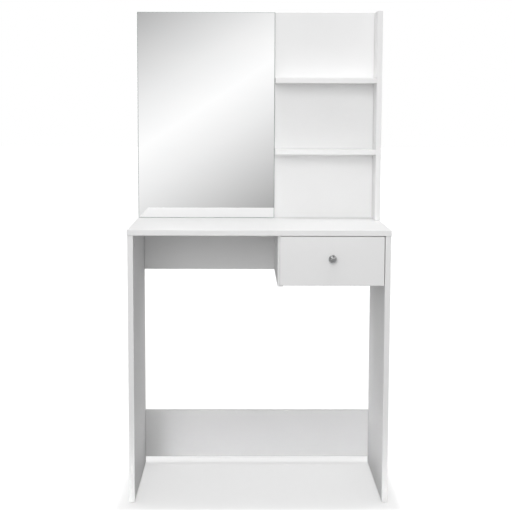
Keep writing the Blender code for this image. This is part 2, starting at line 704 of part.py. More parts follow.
# ---- Assembly ----
def fasten_table(top, panels, upper_rail, lower_rail, divider):
    for name, side in PANEL_SIDES:
        face = RIGHT * -side
        for end, y in (("front", FRONT + TOP_CAM_FRONT), ("rear", REAR - TOP_CAM_REAR)):
            edge = (side * SIDE_MIDDLE, y, TOP_UNDER - JOINT)
            cam_joint(f"top_{end}_{name}", edge, DOWN, BOARD / 2, face, panels[name], top)
        for rail_name, rail, height in (
            ("upper_rail", upper_rail, (RAIL_UNDER + TOP_UNDER) / 2),
            ("lower_rail", lower_rail, LOWER_RAIL_LIFT + LOWER_RAIL_HEIGHT / 2),
        ):
            edge = (side * (SIDE_IN - JOINT), REAR - BOARD / 2, height)
            cam_joint(f"{rail_name}_{name}", edge, face, BOARD / 2, BACKWARD, rail, panels[name])
    middle = (DIVIDER_LEFT + DIVIDER_RIGHT) / 2
    entry = (middle, REAR, (RAIL_UNDER + TOP_UNDER) / 2)
    board_screw("divider_screw", entry, FORWARD, [upper_rail, divider])
    joint = Vector((middle, BEHIND_FRONT + DOWEL_FRONT, TOP_UNDER))
    low, high = -DOWEL_IN_DIVIDER, DOWEL_IN_TOP
    across, along = DOWEL_CHAMFER
    profile = (
        (0, low),
        (DOWEL_RADIUS - across, low),
        (DOWEL_RADIUS, low + along),
        (DOWEL_RADIUS, high - along),
        (DOWEL_RADIUS - across, high),
        (0, high),
    )
    turned("divider_dowel", profile, joint, material=BEECH)
    drill([top, divider], DOWEL_RADIUS + JOINT, joint, UP, low - JOINT, high + JOINT)


def fasten_panel(top, panel, upright, boards):
    behind = REAR - BOARD / 2
    for name, x in (("left", -TOP_X + PANEL_SCREW_MARGIN), ("right", UPRIGHT_IN - PANEL_SCREW_MARGIN)):
        board_screw(f"panel_screw_{name}", (x, behind, TOP_UNDER), UP, [top, panel])
    upright_middle = (UPRIGHT_IN + TOP_X) / 2
    upright_entry = (upright_middle, REAR - UPRIGHT_SCREW_REAR, TOP_UNDER)
    board_screw("upright_screw", upright_entry, UP, [top, upright])
    shelf_middle = (UPRIGHT_FRONT + RAIL_FRONT) / 2
    for name, shelf in boards.items():
        height = shelf.location.z
        left_x, right_x = SHELF_LEFT + SHELF_SCREW_MARGIN, UPRIGHT_IN - SHELF_SCREW_MARGIN
        for end, x in (("left", left_x), ("right", right_x)):
            board_screw(f"shelf_{name}_rear_screw_{end}", (x, REAR, height), FORWARD, [panel, shelf])
        board_screw(f"shelf_{name}_end_screw", (TOP_X, shelf_middle, height), LEFT, [upright, shelf])


def vanity_table():
    top = table_top()
    panels = side_panels()
    upper_rail, lower_rail = rails()
    divider = drawer_divider()
    glides(panels)
    fasten_table(top, panels, upper_rail, lower_rail, divider)
    panel = back_panel()
    upright = shelf_upright()
    mirror()
    fasten_panel(top, panel, upright, shelves())
    drawer = placed("drawer_slide", None, (KNOB_CENTRE.x, FRONT, BOX_UNDER))
    front = drawer_front(drawer)
    drawer_box(drawer)
    drawer_knob(drawer, front)
    for name, wall, inward in RUNNER_SIDES:
        cabinet_runner(name, wall, inward)
        drawer_runner(name, wall, inward, drawer)


vanity_table()
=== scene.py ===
"""Looks for the vanity table: materials, refined fittings, mirror, studio floor, light and camera.

Metres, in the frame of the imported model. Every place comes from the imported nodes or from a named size.
"""

import json
import math

import bmesh
import bpy
from mathutils import Matrix, Vector

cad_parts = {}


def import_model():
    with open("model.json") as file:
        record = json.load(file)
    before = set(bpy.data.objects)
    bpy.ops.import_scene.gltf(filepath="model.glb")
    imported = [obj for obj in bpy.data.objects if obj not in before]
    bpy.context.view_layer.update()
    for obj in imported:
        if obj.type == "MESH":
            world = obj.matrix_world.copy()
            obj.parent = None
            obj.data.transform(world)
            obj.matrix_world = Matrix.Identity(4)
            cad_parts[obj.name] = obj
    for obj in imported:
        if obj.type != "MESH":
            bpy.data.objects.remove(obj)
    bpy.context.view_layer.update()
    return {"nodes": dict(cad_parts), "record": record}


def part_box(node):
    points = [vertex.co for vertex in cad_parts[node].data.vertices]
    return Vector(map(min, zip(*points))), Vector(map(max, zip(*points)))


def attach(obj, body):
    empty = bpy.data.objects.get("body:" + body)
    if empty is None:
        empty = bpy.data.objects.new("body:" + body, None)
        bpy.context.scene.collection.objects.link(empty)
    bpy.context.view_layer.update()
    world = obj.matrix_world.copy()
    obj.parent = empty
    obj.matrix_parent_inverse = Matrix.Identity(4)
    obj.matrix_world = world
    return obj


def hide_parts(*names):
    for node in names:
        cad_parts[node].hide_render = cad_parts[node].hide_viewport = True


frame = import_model()
nodes = frame["nodes"]

# ---- Camera ----
IMAGE_SIDE = 515
FOCAL_PIXELS = 1189.08
SENSOR = 36.0
CAMERA_PLACE = Vector((-0.0448, -3.5295, 1.1402))
CAMERA_YAW = math.radians(-0.677)
CAMERA_PITCH = math.radians(-6.383)
CAMERA_ROLL = math.radians(0.211)
CAMERA_SHIFT = -0.0340

# ---- Sizes ----
UP = Vector((0, 0, 1))
FORWARD = Vector((0, -1, 0))
RIGHT = Vector((1, 0, 0))
BAND = 0.0008  # thickness of the boards' edge banding
SEAM_WIDTH = (0.00005, 0.00022)  # where the band's hairline seam starts to fade, and where it ends
MIRROR_BEVEL = 0.0012
MIRROR_BEVEL_DEPTH = 0.00072
MIRROR_BACK_EDGE = 0.0003
FINE = 96  # sides of a smooth turned piece
ROUND = 48
CUT_OVER = 0.001  # how far a cutter reaches past the face that it cuts
KNOB_DOME = 0.0045
KNOB_EDGE = 0.0035
KNOB_NECK = 0.0050
KNOB_BASE = 0.0066
KNOB_BASE_HEIGHT = 0.0015
KNOB_BASE_EDGE = 0.0004
KNOB_WAIST_INSET = 0.0010
KNOB_WAIST_MARGIN = 0.0020
CAM_RADIUS = 0.0073
CAM_EDGE = 0.0005
CAM_EDGE_BOW = 0.00015  # inset of the rounded rim's middle point
CAM_CROSS = (0.0074, 0.0013, 0.0022)  # length, width and depth of the recess
CAM_ARROW = (0.0062, 0.0048, 0.0011)  # tip and back from the middle, half width
CAM_ARROW_DEPTH = 0.0004
CAM_SLOT = 0.0078
CAM_FIT = 0.0005  # how closely a packed cam's half width follows CAM_RADIUS
RECESS_TAPER = 0.8
SCREW_HEAD = 0.0048
SCREW_HEAD_EDGE = (0.0003, 0.0002, 0.0006)  # chamfer across, its end and the rim's end down the screw
SCREW_SINK = 0.0045
SCREW_SHANK = 0.0034
SCREW_SHANK_END = 0.0140
SCREW_CORE = 0.0021
SCREW_CORE_START = 0.0145
SCREW_THREAD_START = 0.0150
SCREW_POINT = 0.0040
SCREW_CREST = 0.0025
SCREW_PITCH = 0.0030
SCREW_FLANKS = (0.4, 0.8)  # share of a pitch at a thread's crest and at its foot
SCREW_LENGTH = 0.050
SCREW_SOCKET = 0.0023
SCREW_SOCKET_DEPTH = 0.0022
SCREW_SOCKET_TAPER = 0.94
PROUD = 0.0001  # how far a flush fitting stands out of its board
DRAWER_CAM_INSET = 0.024
DRAWER_CAM_DEPTH = 0.0105
DRAWER_SCREW_LENGTH = 0.040
DRAWER_FIXING_HEIGHTS = (0.26, 0.76)  # share of the drawer back's height
RUNNER_SCREW_HEAD = (0.0032, 0.0014)  # radius and rise
RUNNER_SCREW_SHANK = 0.0015
RUNNER_SCREW_LENGTH = 0.013
RUNNER_SCREW_POINT = 0.8  # share of the length where its point starts
RUNNER_SCREW_CROSS = (0.62, 0.14)  # half length and half width as shares of the head's radius
RUNNER_SCREW_FLOOR = 0.2  # height of the cross's floor as a share of the head's rise
RUNNER_SCREW_PLACES = (0.10, 0.50, 0.90)  # share of the runner's length
ROLLER_BORE = 0.0023
ROLLER_HUB = 0.0040
ROLLER_WEB = 0.0012
ROLLER_EDGE = 0.0007
ROLLER_RIM = 0.0015
ROLLER_DRAFT = 0.0003  # how far the sides of the recess lean
HUB_DRAFT = 0.0002

# ---- Light ----
FLOOR_SIZE = 60.0
FLOOR_WHITE = 0.85
FLOOR_GLOW = 0.62
PAINTED_SHADE_GLOW = 0.375  # the floor's dimmed glow in the painted shadow round the table's feet
SHADE_SIDES = 0.020  # how far that painted shadow reaches past the side panels
SHADE_AHEAD = 0.048
SHADE_BEHIND = 0.120
SHADE_FADE = 0.035
FLOOR_BOUNCE = 0.59
SUN_TILT = Vector((0, 0.05, 1))
SUN_STRENGTH = 0.25
SUN_SPREAD = 5.0
WORLD_LEVELS = (0.425, 0.625)  # low in the sky and overhead
WORLD_HEIGHTS = (-0.2, 1.0)
GLOSS_LEVELS = (0.22, 0.85)  # darkest and brightest of what reflections see all round
GLOSS_LEAN = 0.5
GLOSS_WAVES = 5.0
SOFTBOX_LEVEL = 4.5
BAND_SLOPE = 0.66
BAND_MIDDLE = 1.37
BAND_REACH = 2.0
BAND_STOPS = ((0.0, 1.08), (0.12, 1.03), (0.35, 0.92), (0.70, 0.70), (1.10, 0.44), (2.0, 0.30))
MIRROR_CARD = ((-2.2, -5, -0.6), (1.4, -5, -0.6), (1.4, -5, 3), (-2.2, -5, 3))
SOFTBOX_CARD = ((-1.2, -3.6, 2.5), (-0.1, -3.6, 2.5), (-0.1, -3.0, 3.4), (-1.2, -3.0, 3.4))
# Place, target, width and height, watts, and spread in degrees.
AREA_LIGHTS = {
    "key": ((-0.9, -5.2, 2.5), (0.0, 0.0, 0.6), (2.8, 2.8), 110.0, 180),
    "low_fill": ((-0.5, -3.2, 0.30), (0.05, 0.2, -0.15), (1.8, 0.1), 0.88, 14),
    "shelf_fill": ((-0.4, -3.4, 1.0), (0.2, 0.2, 1.02), (0.8, 0.2), 0.09, 14),
    "overhead": ((-0.3, -0.9, 5.6), (-0.1, -0.1, 0.8), (3.4, 2.2), 104.0, 180),
    "rear": ((-1.1, 3.6, 1.3), (0.1, 0.0, 0.4), (2.0, 1.4), 22.0, 180),
    "rear_low": ((-0.5, 2.6, 1.05), (0.05, 0.0, 0.14), (2.4, 0.2), 3.2, 20),
    "left": ((-3.4, 0.6, 1.5), (-0.3, 0.0, 0.7), (1.6, 1.8), 14.0, 180),
    "right": ((3.4, 1.2, 1.5), (0.3, 0.0, 0.7), (1.6, 1.8), 22.0, 180),
}


# ---- Shader graphs ----
NOISE_RANGE = (0.3, 0.7)


class Graph:
    """A material's or group's nodes, made by name and linked by value."""

    def __init__(self, tree):
        self.tree = tree

    def add(self, kind, inputs=None, **settings):
        node = self.tree.nodes.new(kind)
        for key, value in settings.items():
            setattr(node, key, value)
        for key, value in (inputs or {}).items():
            socket = node.inputs[key]
            if isinstance(value, bpy.types.NodeSocket):
                self.tree.links.new(value, socket)
            else:
                socket.default_value = value
        return node

    def math(self, operation, first, second=0.0, third=0.0):
        made = self.add("ShaderNodeMath", {0: first, 1: second, 2: third}, operation=operation)
        return made.outputs[0]

    def vector(self, operation, first, second):
        made = self.add("ShaderNodeVectorMath", {0: first, 1: second}, operation=operation)
        return made.outputs[0]

    def coordinates(self):
        return self.add("ShaderNodeTexCoord").outputs["Object"]

    def noise(self, place, scale, detail=2.0, roughness=0.5):
        inputs = {"Vector": place, "Scale": scale, "Detail": detail, "Roughness": roughness}
        return self.add("ShaderNodeTexNoise", inputs).outputs["Fac"]

    def cells(self, place, scale):
        return self.add("ShaderNodeTexVoronoi", {"Vector": place, "Scale": scale}).outputs["Distance"]

    def remap(self, value, low, high, to_low, to_high, smooth=False):
        inputs = {"Value": value, 1: low, 2: high, 3: to_low, 4: to_high}
        kind = "SMOOTHSTEP" if smooth else "LINEAR"
        return self.add("ShaderNodeMapRange", inputs, interpolation_type=kind).outputs[0]

    def spread(self, noise, low, high):
        """Noise from its usual range to the range from low to high."""
        return self.remap(noise, *NOISE_RANGE, low, high)

    def mix(self, factor, first, second):
        made = self.add("ShaderNodeMix", data_type="RGBA")
        for index, value in ((0, factor), (6, first), (7, second)):
            if isinstance(value, bpy.types.NodeSocket):
                self.tree.links.new(value, made.inputs[index])
            else:
                made.inputs[index].default_value = value
        return made.outputs[2]

    def bump(self, height, distance, strength=1.0, normal=None):
        inputs = {"Height": height, "Distance": distance, "Strength": strength}
        if normal:
            inputs["Normal"] = normal
        return self.add("ShaderNodeBump", inputs).outputs["Normal"]


def grey(level, warm=0.0):
    return (level + warm, level, level - warm, 1.0)


def surface(name, build, **sockets):
    """A material whose build function returns colour, roughness and normal from the graph."""
    material = bpy.data.materials.new(name)
    material.use_nodes = True
    tree = material.node_tree
    shader = tree.nodes["Principled BSDF"]
    graph = Graph(tree)
    colour, roughness, normal = build(graph)
    for key, value in (("Base Color", colour), ("Roughness", roughness), ("Normal", normal)):
        if isinstance(value, bpy.types.NodeSocket):
            tree.links.new(value, shader.inputs[key])
        elif value is not None:
            shader.inputs[key].default_value = value
    for key, value in sockets.items():
        shader.inputs[key.replace("_", " ")].default_value = value
    return material


def seam_group():
    """How near a point of a board's face is to the seam of its edge band, from 0 to 1."""
    tree = bpy.data.node_groups.new("band_seam", "ShaderNodeTree")
    for name in ("Place", "Low", "High"):
        tree.interface.new_socket(name, in_out="INPUT", socket_type="NodeSocketVector")
    tree.interface.new_socket("Seam", in_out="OUTPUT", socket_type="NodeSocketFloat")
    graph = Graph(tree)
    given = graph.add("NodeGroupInput").outputs
    from_low = graph.vector("SUBTRACT", given["Place"], given["Low"])
    from_high = graph.vector("SUBTRACT", given["High"], given["Place"])
    nearest = graph.vector("MINIMUM", from_low, from_high)
    split = graph.add("ShaderNodeSeparateXYZ", {0: nearest}).outputs
    inset = graph.math("MINIMUM", graph.math("MINIMUM", split[0], split[1]), split[2])
    off_seam = graph.math("ABSOLUTE", graph.math("SUBTRACT", inset, BAND))
    seam = graph.remap(off_seam, *SEAM_WIDTH, 1.0, 0.0, smooth=True)
    graph.add("NodeGroupOutput", {"Seam": seam})
    return tree


SEAM = seam_group()
WHITE_BOARD = 0.845
MOTTLE = 0.008
SEAM_SHADE = 0.78


def melamine(name, low, high):
    """White melamine board: satin, finely pebbled, faintly mottled, with its edge band's hairline seam.

    The seam runs round the board's broad faces, so the bounds are pushed apart across its thickness.
    """
    low, high = Vector(low), Vector(high)
    size = high - low
    thin = min(range(3), key=lambda axis: size[axis])
    low[thin] -= 1.0
    high[thin] += 1.0

    def build(graph):
        place = graph.coordinates()
        seam = graph.add("ShaderNodeGroup", node_tree=SEAM)
        graph.tree.links.new(place, seam.inputs["Place"])
        seam.inputs["Low"].default_value = low
        seam.inputs["High"].default_value = high
        seam = seam.outputs["Seam"]
        cloud = graph.noise(place, scale=7.0, detail=3.0)
        level = graph.spread(cloud, WHITE_BOARD - MOTTLE, WHITE_BOARD + MOTTLE)
        board = graph.add("ShaderNodeCombineColor", {0: level, 1: level, 2: level}).outputs[0]
        colour = graph.mix(seam, board, grey(WHITE_BOARD * SEAM_SHADE, 0.006))
        pebble = graph.noise(place, scale=1100.0, detail=2.0, roughness=0.6)
        wave = graph.noise(place, scale=24.0, detail=2.0)
        roughness = graph.spread(pebble, 0.34, 0.46)
        normal = graph.bump(wave, distance=0.0004, strength=0.12)
        normal = graph.bump(pebble, distance=0.00006, strength=0.35, normal=normal)
        groove = graph.math("MULTIPLY", seam, -1.0)
        normal = graph.bump(groove, distance=0.00010, strength=0.6, normal=normal)
        return colour, roughness, normal

    return surface(name, build, IOR=1.5)


def foil_board():
    """The drawer's inner boards: thin white foil that shows the chipboard faintly."""

    def build(graph):
        place = graph.coordinates()
        fibre = graph.noise(place, scale=420.0, detail=4.0, roughness=0.7)
        cloud = graph.noise(place, scale=9.0, detail=3.0)
        level = graph.spread(cloud, 0.775, 0.800)
        board = graph.add("ShaderNodeCombineColor", {0: level, 1: level, 2: level}).outputs[0]
        fleck = graph.remap(fibre, 0.62, 0.75, 0.0, 0.35, smooth=True)
        colour = graph.mix(fleck, board, grey(0.70, 0.012))
        roughness = graph.spread(fibre, 0.42, 0.58)
        return colour, roughness, graph.bump(fibre, distance=0.00012, strength=0.35)

    return surface("foil_board", build)


def mirror_silver():
    """The silvered face: bright, all but perfectly flat, with the faint smear of cleaning."""

    def build(graph):
        place = graph.coordinates()
        smear = graph.noise(graph.vector("MULTIPLY", place, (3.0, 1.0, 9.0)), scale=2.0, detail=3.0)
        streaks = graph.spread(smear, 0.0, 1.0)
        colour = graph.mix(streaks, grey(0.925), grey(0.915, -0.003))
        roughness = graph.remap(smear, 0.4, 0.8, 0.0, 0.012)
        return colour, roughness, None

    return surface("mirror_silver", build, Metallic=1.0)


def ground_edge():
    """The glass sheet's ground edge: satin, grey-green, with the grinding wheel's fine lines."""

    def build(graph):
        place = graph.coordinates()
        lines = graph.noise(graph.vector("MULTIPLY", place, (40.0, 4000.0, 40.0)), scale=1.0, detail=2.0)
        colour = graph.mix(lines, (0.20, 0.25, 0.235, 1.0), (0.30, 0.36, 0.34, 1.0))
        return colour, graph.spread(lines, 0.22, 0.38), graph.bump(lines, distance=0.00003, strength=0.4)

    return surface("ground_edge", build, IOR=1.52)


def mirror_backing():
    """The grey protective paint on the back of the mirror."""

    def build(graph):
        place = graph.coordinates()
        grain = graph.noise(place, scale=300.0, detail=3.0)
        colour = graph.mix(grain, grey(0.20), grey(0.26))
        return colour, graph.spread(grain, 0.5, 0.7), graph.bump(grain, distance=0.00005, strength=0.4)

    return surface("mirror_backing", build)


def chrome():
    """Bright chrome plate, very slightly hazed."""

    def build(graph):
        place = graph.coordinates()
        haze = graph.noise(place, scale=260.0, detail=3.0)
        fine = graph.noise(place, scale=3000.0, detail=1.0)
        colour = graph.mix(haze, grey(0.50, -0.004), grey(0.58, -0.004))
        return colour, graph.spread(haze, 0.03, 0.07), graph.bump(fine, distance=0.00001, strength=0.15)

    return surface("chrome", build, Metallic=1.0)


def zinc():
    """Zinc plate with its fine spangle."""

    def build(graph):
        place = graph.coordinates()
        cell = graph.cells(place, 900.0)
        haze = graph.noise(place, scale=500.0, detail=3.0)
        colour = graph.mix(haze, (0.52, 0.53, 0.54, 1.0), (0.68, 0.68, 0.66, 1.0))
        return colour, graph.spread(haze, 0.26, 0.44), graph.bump(cell, distance=0.00004, strength=0.3)

    return surface("zinc", build, Metallic=1.0)


def enamel():
    """White epoxy powder coat on steel, with its orange peel."""

    def build(graph):
        place = graph.coordinates()
        peel = graph.noise(place, scale=650.0, detail=2.0)
        cloud = graph.noise(place, scale=30.0, detail=2.0)
        colour = graph.mix(cloud, grey(0.76), grey(0.80))
        return colour, graph.spread(peel, 0.24, 0.34), graph.bump(peel, distance=0.00008, strength=0.5)

    return surface("enamel", build)


def nylon():
    """Natural white nylon, moulded matt."""

    def build(graph):
        place = graph.coordinates()
        grain = graph.noise(place, scale=1500.0, detail=2.0)
        cloud = graph.noise(place, scale=60.0, detail=2.0)
        colour = graph.mix(cloud, (0.74, 0.735, 0.70, 1.0), (0.80, 0.795, 0.76, 1.0))
        return colour, graph.spread(grain, 0.42, 0.55), graph.bump(grain, distance=0.00003, strength=0.4)

    return surface("nylon", build)


def beech():
    """A beech dowel with its grain upright."""

    def build(graph):
        place = graph.coordinates()
        along = graph.vector("MULTIPLY", place, (1.0, 1.0, 0.06))
        grain = graph.noise(along, scale=1400.0, detail=4.0, roughness=0.65)
        colour = graph.mix(grain, (0.48, 0.31, 0.17, 1.0), (0.68, 0.50, 0.32, 1.0))
        return colour, graph.spread(grain, 0.55, 0.72), graph.bump(grain, distance=0.0001, strength=0.5)

    return surface("beech", build)


def foam():
    """Closed-cell foam tape."""

    def build(graph):
        place = graph.coordinates()
        cell = graph.cells(place, 1600.0)
        colour = graph.mix(cell, grey(0.30), grey(0.42))
        roughness = graph.remap(cell, 0.0, 0.6, 0.85, 0.95)
        return colour, roughness, graph.bump(cell, distance=0.0002, strength=0.5)

    return surface("foam", build)


FOIL = foil_board()
SILVER = mirror_silver()
GROUND = ground_edge()
BACKING = mirror_backing()
CHROME = chrome()
ZINC = zinc()
ENAMEL = enamel()
NYLON = nylon()
BEECH = beech()
FOAM = foam()


def dress(name, material):
    """Gives a CAD node one material all over."""
    held = nodes[name].data
    held.materials.clear()
    held.materials.append(material)


BY_SLOT = {
    "drawer_board": FOIL,
    "mirror_glass": SILVER,
    "mounting_tape": FOAM,
    "chrome": CHROME,
    "zinc_steel": ZINC,
    "enamelled_steel": ENAMEL,
    "nylon": NYLON,
    "beech": BEECH,
}
SLOT_OF = {row["node"]: row["material_slot"] for row in frame["record"]["subparts"]}
for name in nodes:
    slot = SLOT_OF[name]
    if slot in BY_SLOT:
        dress(name, BY_SLOT[slot])
    else:
        dress(name, melamine(f"melamine_{name}", *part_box(name)))


# ---- Refined pieces ----
def finished(name, shape, materials, body, slot, *replaced, smooth=40):
    """Turns a shape into a piece that rides on a body and may stand for CAD nodes. Frees the shape."""
    bmesh.ops.recalc_face_normals(shape, faces=shape.faces)
    mesh = bpy.data.meshes.new(name)
    shape.to_mesh(mesh)
    shape.free()
    for material in materials:
        mesh.materials.append(material)
    mesh.shade_smooth()
    mesh.set_sharp_from_angle(angle=math.radians(smooth))
    made = bpy.data.objects.new(name, mesh)
    bpy.context.scene.collection.objects.link(made)
    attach(made, body)
    if replaced:
        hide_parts(*replaced)


def turned_shape(profile, place, axis, sides):
    """A shape turned from a profile of radius and height, about an axis through a place."""
    shape = bmesh.new()
    turn = UP.rotation_difference(axis).to_matrix()
    rows = []
    for radius, height in profile:
        if radius:
            angles = [math.tau * n / sides for n in range(sides)]
            row = [Vector((radius * math.cos(a), radius * math.sin(a), height)) for a in angles]
            rows.append([shape.verts.new(place + turn @ point) for point in row])
        else:
            rows.append([shape.verts.new(place + turn @ Vector((0, 0, height)))] * sides)
    for lower, upper in zip(rows, rows[1:]):
        for n in range(sides):
            corners = (lower[n], lower[(n + 1) % sides], upper[(n + 1) % sides], upper[n])
            shape.faces.new(dict.fromkeys(corners))
    return shape


def arc(centre, radii, start, end, steps):
    """Points of an ellipse's arc, from and to angles in degrees."""
    angles = [math.radians(start + (end - start) * n / steps) for n in range(steps + 1)]
    return [(centre[0] + radii[0] * math.cos(a), centre[1] + radii[1] * math.sin(a)) for a in angles]


def make_mirror():
    """The mirror as one sheet with a ground bevel round its face, silvered in front and painted behind."""
    low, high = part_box("mirror")
    shape = bmesh.new()
    rings = []
    steps = (
        (MIRROR_BEVEL, low.y),
        (0.0, low.y + MIRROR_BEVEL_DEPTH),
        (0.0, high.y - MIRROR_BACK_EDGE),
        (MIRROR_BACK_EDGE, high.y),
    )
    for inset, y in steps:
        corners = (
            (low.x + inset, low.z + inset),
            (high.x - inset, low.z + inset),
            (high.x - inset, high.z - inset),
            (low.x + inset, high.z - inset),
        )
        rings.append([shape.verts.new((x, y, z)) for x, z in corners])
    for first, second in zip(rings, rings[1:]):
        for n in range(4):
            side = shape.faces.new((first[n], first[(n + 1) % 4], second[(n + 1) % 4], second[n]))
            side.material_index = 1
    shape.faces.new(rings[0]).material_index = 0
    shape.faces.new(rings[-1]).material_index = 2
    finishes = (SILVER, GROUND, BACKING)
    finished("mirror_sheet", shape, finishes, "carcass", "mirror_glass", "mirror", smooth=10)


def carved(shape, cutters):
    """The shape with the cutters' closed shapes taken out of it. Frees them all."""
    held = []
    for n, part in enumerate((shape, *cutters)):
        bmesh.ops.recalc_face_normals(part, faces=part.faces)
        mesh = bpy.data.meshes.new(f"carving_{n}")
        part.to_mesh(mesh)
        part.free()
        held.append(bpy.data.objects.new(mesh.name, mesh))
        bpy.context.scene.collection.objects.link(held[-1])
    for cutter in held[1:]:
        step = held[0].modifiers.new(cutter.name, "BOOLEAN")
        step.operation = "DIFFERENCE"
        step.solver = "EXACT"
        step.object = cutter
    evaluated = held[0].evaluated_get(bpy.context.evaluated_depsgraph_get())
    result = bmesh.new()
    result.from_mesh(evaluated.to_mesh())
    evaluated.to_mesh_clear()
    for part in held:
        mesh = part.data
        bpy.data.objects.remove(part)
        bpy.data.meshes.remove(mesh)
    return result


def prism(outline, seat, across, along, axis, top, bottom, taper=1.0):
    """A closed shape with a flat outline, from top to bottom along an axis, narrowed at the bottom."""
    shape = bmesh.new()
    rings = []
    for height, share in ((top, 1.0), (bottom, taper)):
        ring = [seat + (across * x + along * y) * share + axis * height for x, y in outline]
        rings.append([shape.verts.new(point) for point in ring])
    count = len(outline)
    for n in range(count):
        following = (n + 1) % count
        shape.faces.new((rings[0][n], rings[0][following], rings[1][following], rings[1][n]))
    shape.faces.new(rings[0])
    shape.faces.new(rings[1])
    return shape


def cross_outline(long, wide):
    """A cross's outline from its half length and half width."""
    half = [(long, -wide), (long, wide), (wide, wide), (wide, long), (-wide, long), (-wide, wide)]
    return half + [(-x, -y) for x, y in half]


def middle_of(name):
    """A node's middle and half sizes."""
    low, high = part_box(name)
    return (low + high) / 2, (high - low) / 2


def make_knob():
    """Turned brass, chromed: base, waisted neck, rounded rim and a low dome."""
    centre, half = middle_of("drawer_knob")
    centre.y += half.y
    reach = 2 * half.y
    shoulder = half.x - KNOB_EDGE / 2
    rim = reach - KNOB_DOME - KNOB_EDGE / 2
    waist = (rim - KNOB_EDGE / 2) / 2
    middle = half.x - KNOB_WAIST_INSET
    waist_radii = (middle - KNOB_NECK, waist - KNOB_WAIST_MARGIN)
    profile = [
        (0, reach),
        *arc((0, reach - KNOB_DOME), (shoulder, KNOB_DOME), 86, 12, 16),
        *arc((shoulder, rim), (KNOB_EDGE / 2, KNOB_EDGE / 2), 80, -80, 14),
        *reversed(arc((middle, waist), waist_radii, 250, 110, 16)),
        (KNOB_BASE, KNOB_BASE_HEIGHT),
        (KNOB_BASE, KNOB_BASE_EDGE),
        (KNOB_BASE - KNOB_BASE_EDGE, 0.0),
        (0, 0.0),
    ]
    shape = turned_shape(profile, centre, FORWARD, FINE)
    finished("knob", shape, (CHROME,), "drawer", "chrome", "drawer_knob", smooth=50)


def make_cam(name, bolt):
    """Replaces a plain cam lock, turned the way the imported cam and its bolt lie."""
    centre, half = middle_of(name)
    bolt_centre, bolt_half = middle_of(bolt)
    run = max(range(3), key=lambda n: bolt_half[n])
    to_bolt = Vector((0, 0, 0))
    to_bolt[run] = 1.0 if bolt_centre[run] > centre[run] else -1.0
    # The cam is bored in from one face of its board, so its own face looks away from the bolt's line.
    thin = next(n for n in range(3) if n != run and abs(half[n] - CAM_RADIUS) > CAM_FIT)
    axis = Vector((0, 0, 0))
    axis[thin] = -1.0 if bolt_centre[thin] > centre[thin] else 1.0
    shape = cam_shape(centre + axis * half[thin], axis, to_bolt, 2 * half[thin])
    finished(name.replace("cam_lock", "cam"), shape, (ZINC,), "carcass", "zinc_steel", name)


def cam_shape(seat, axis, to_bolt, height):
    """A die-cast cam: rounded rim, tapered cross recess and an arrow that points to the bolt's way in."""
    across = axis.cross(to_bolt)
    profile = (
        (0, -height),
        (CAM_RADIUS - CAM_EDGE, -height),
        (CAM_RADIUS, -height + CAM_EDGE),
        (CAM_RADIUS, -CAM_EDGE),
        (CAM_RADIUS - CAM_EDGE_BOW, -CAM_EDGE_BOW),
        (CAM_RADIUS - CAM_EDGE, 0),
        (0, 0),
    )
    body = turned_shape(profile, seat, axis, ROUND)
    facing = (seat, across, to_bolt, axis)
    long, wide, deep = CAM_CROSS
    recess = prism(cross_outline(long / 2, wide / 2), *facing, CUT_OVER, -deep, RECESS_TAPER)
    tip, back, spread = CAM_ARROW
    arrow = prism([(0, tip), (-spread, back), (spread, back)], *facing, CUT_OVER, -CAM_ARROW_DEPTH)
    reach = CAM_RADIUS + CUT_OVER
    side = CAM_SLOT / 2
    slot = [(-side, -wide), (side, -wide), (side, reach), (-side, reach)]
    throat = prism(slot, *facing, -height + CAM_SLOT, -height - CUT_OVER)
    return carved(body, [recess, arrow, throat])


def make_screw(name, way_in):
    """Replaces a plain connecting screw of the carcass."""
    centre, half = middle_of(name)
    run = max(range(3), key=lambda n: half[n])
    shape = screw_shape(centre - way_in * half[run], way_in, SCREW_LENGTH)
    finished(name.replace("screw", "bolt"), shape, (ZINC,), "carcass", "zinc_steel", name)


def screw_shape(seat, way_in, length):
    """A connecting screw: flat countersunk head with a hexagon socket, shank and coarse thread."""
    chamfer, chamfer_end, rim_end = SCREW_HEAD_EDGE
    profile = [
        (0, 0),
        (SCREW_HEAD - chamfer, 0),
        (SCREW_HEAD, -chamfer_end),
        (SCREW_HEAD, -rim_end),
        (SCREW_SHANK, -SCREW_SINK),
        (SCREW_SHANK, -SCREW_SHANK_END),
        (SCREW_CORE, -SCREW_CORE_START),
    ]
    crest, foot = SCREW_FLANKS
    turns = int((length - SCREW_THREAD_START - SCREW_POINT) / SCREW_PITCH)
    for n in range(turns):
        start = -SCREW_THREAD_START - n * SCREW_PITCH
        profile += [
            (SCREW_CORE, start),
            (SCREW_CREST, start - SCREW_PITCH * crest),
            (SCREW_CORE, start - SCREW_PITCH * foot),
        ]
    profile.append((0, -length))
    body = turned_shape(profile, seat, -way_in, FINE // 3)
    sideways = Vector((way_in.y, way_in.z, way_in.x))
    hexagon = arc((0, 0), (SCREW_SOCKET, SCREW_SOCKET), 0, 300, 5)
    facing = (seat, sideways, sideways.cross(way_in), -way_in)
    socket = prism(hexagon, *facing, CUT_OVER, -SCREW_SOCKET_DEPTH, SCREW_SOCKET_TAPER)
    return carved(body, [socket])


